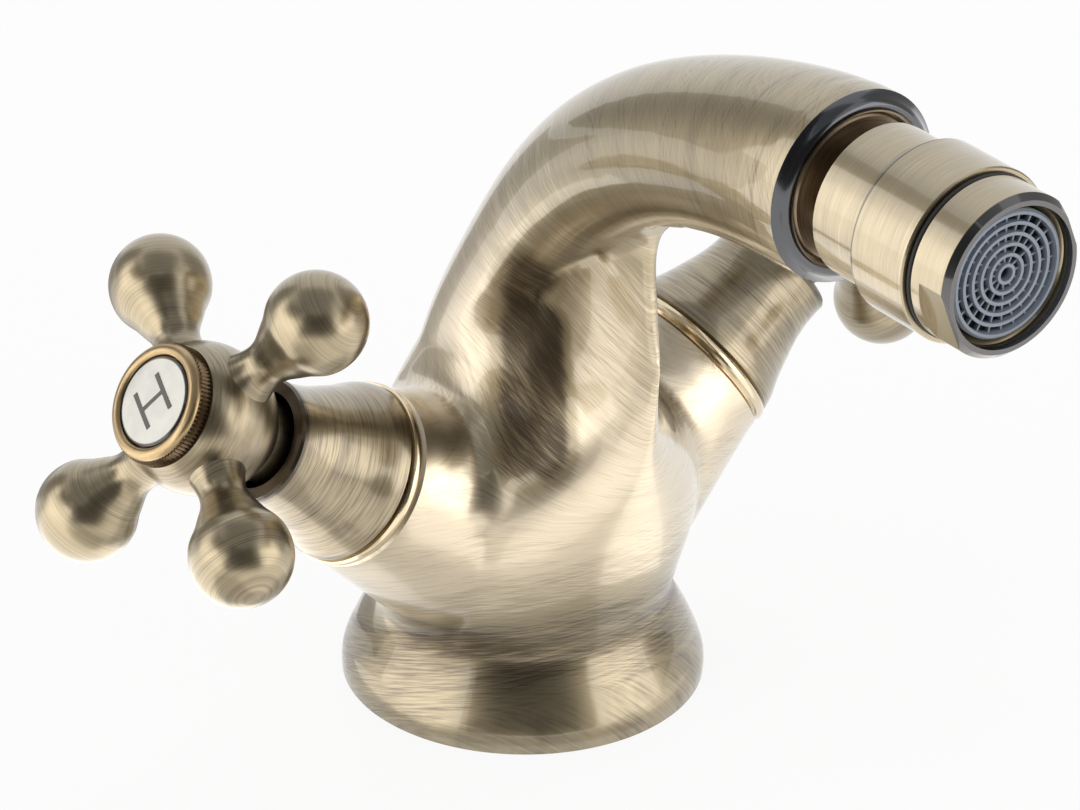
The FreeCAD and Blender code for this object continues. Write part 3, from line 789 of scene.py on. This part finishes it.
def aimMatrix(azimuth, elevation, distance, height=0.08):
    # a place seen from the object: azimuth 0 is the camera's side, 90 its right; z points at the object
    a = math.radians(azimuth)
    base = math.radians(view["azimuth"])
    e = math.radians(elevation)
    toCamera = Vector((-math.sin(base), -math.cos(base), 0))
    toRight = Vector((math.cos(base), -math.sin(base), 0))
    way = (toCamera * math.cos(a) + toRight * math.sin(a)) * math.cos(e) + Vector((0, 0, math.sin(e)))
    place = way * distance + Vector((0, 0, height))
    turn = (-way).to_track_quat("Z", "Y").to_matrix().to_4x4()
    return Matrix.Translation(place) @ turn


def addLamp(name, azimuth, elevation, distance, size, power):
    # lights the diffuse pieces; the cards below are what the metal mirrors
    data = bpy.data.lights.new(name, "AREA")
    data.shape = "RECTANGLE"
    data.size, data.size_y = size
    data.energy = power
    lamp = bpy.data.objects.new(name, data)
    lamp.matrix_world = aimMatrix(azimuth, elevation, distance) @ Matrix.Rotation(math.pi, 4, "Y")
    lamp.visible_glossy = False
    bpy.context.scene.collection.objects.link(lamp)


def onlyReflected(card):
    card.visible_camera = False
    card.visible_diffuse = False
    card.visible_shadow = False


def addCard(name, start, end, low, high, shade):
    # part of a wall or of the ground, spun between two azimuths from a line of (radius, height)
    bm = bmesh.new()
    first = bmesh.ops.create_vert(bm, co=(0, -low[0], low[1]))["vert"][0]
    second = bmesh.ops.create_vert(bm, co=(0, -high[0], high[1]))["vert"][0]
    edge = bm.edges.new((first, second))
    turn = math.radians(start - view["azimuth"])
    bmesh.ops.rotate(bm, verts=bm.verts, matrix=Matrix.Rotation(turn, 3, "Z"))
    bmesh.ops.spin(bm, geom=[first, second, edge], axis=(0, 0, 1), cent=(0, 0, 0), steps=20,
                   angle=math.radians(end - start))
    card = objectFrom(bm, name)
    card.data.materials.append(emissionMaterial(name, shade))
    onlyReflected(card)


# azimuths are measured from the camera's side, positive to its right; lengths in metres
studio = {
    "floorGlow": 0.9,
    "lampDistance": 1.5,
    "lamps": {"left": (-64, 25, (1.3, 1.0), 4.0), "right": (66, 25, (1.3, 1.0), 4.0),
              "back": (165, 60, (1.2, 0.5), 5.0)},
    "cards": {
        "leftBox": (-97, -37, (1.5, 0.002), (1.5, 0.78), 2.5),
        "leftUpper": (-97, -40, (1.7, 0.85), (1.7, 2.1), 0.2),
        "leftBackBox": (-107, -90, (1.6, 0.30), (1.6, 1.35), 2.1),
        "rightBox": (47, 92, (1.5, 0.002), (1.5, 1.0), 2.5),
        "frontWall": (-33, 45, (1.9, 0.0), (1.9, 2.1), 0.08),
        "leftWall": (-140, -108, (1.9, -0.05), (1.9, 2.1), 0.3),
        "rightWall": (96, 142, (1.9, -0.05), (1.9, 2.1), 0.4),
        "leftGround": (-97, -37, (0.05, 0.0003), (1.4, 0.0003), 2.0),
        "rightGround": (47, 92, (0.05, 0.0003), (1.4, 0.0003), 1.5),
        "nearGround": (-33, 45, (0.036, 0.0003), (0.078, 0.0003), 0.7),
        "frontGround": (-33, 45, (0.078, 0.0003), (1.8, 0.0003), 1.4),
        "handleGround": (-46, -13, (0.085, 0.0005), (0.32, 0.0005), 0.8),
        "backGround": (-150, -118, (0.05, 0.0003), (0.9, 0.0003), 0.4),
    },
    "cardTint": (1.0, 0.97, 0.92),
    "ceiling": {"elevation": 80, "distance": 2.1, "size": (2.8, 2.4), "shade": 0.35},
}

addPlane("floor", floorMaterial(), (12, 12), Matrix())
for name, (azimuth, elevation, size, power) in studio["lamps"].items():
    addLamp(name + "Lamp", azimuth, elevation, studio["lampDistance"], size, power)
for name, (start, end, low, high, shade) in studio["cards"].items():
    addCard(name, start, end, low, high, [c * shade for c in studio["cardTint"]])
ceiling = studio["ceiling"]
ceilingGlow = emissionMaterial("ceilingCard", [ceiling["shade"]] * 3)
onlyReflected(addPlane("ceilingCard", ceilingGlow, ceiling["size"],
                       aimMatrix(0, ceiling["elevation"], ceiling["distance"])))


def setWorld():
    world = bpy.data.worlds.new("studio")
    bpy.context.scene.world = world
    world.use_nodes = True
    tree = world.node_tree
    strength = mathNode(tree, "MULTIPLY_ADD", seenRays(tree), 0.35, 0.65)
    link(tree, strength, tree.nodes["Background"].inputs["Strength"])
    tree.nodes["Background"].inputs["Color"].default_value = (1, 1, 1, 1)


setWorld()
bpy.context.scene.view_settings.view_transform = "Standard"
print("stage done")
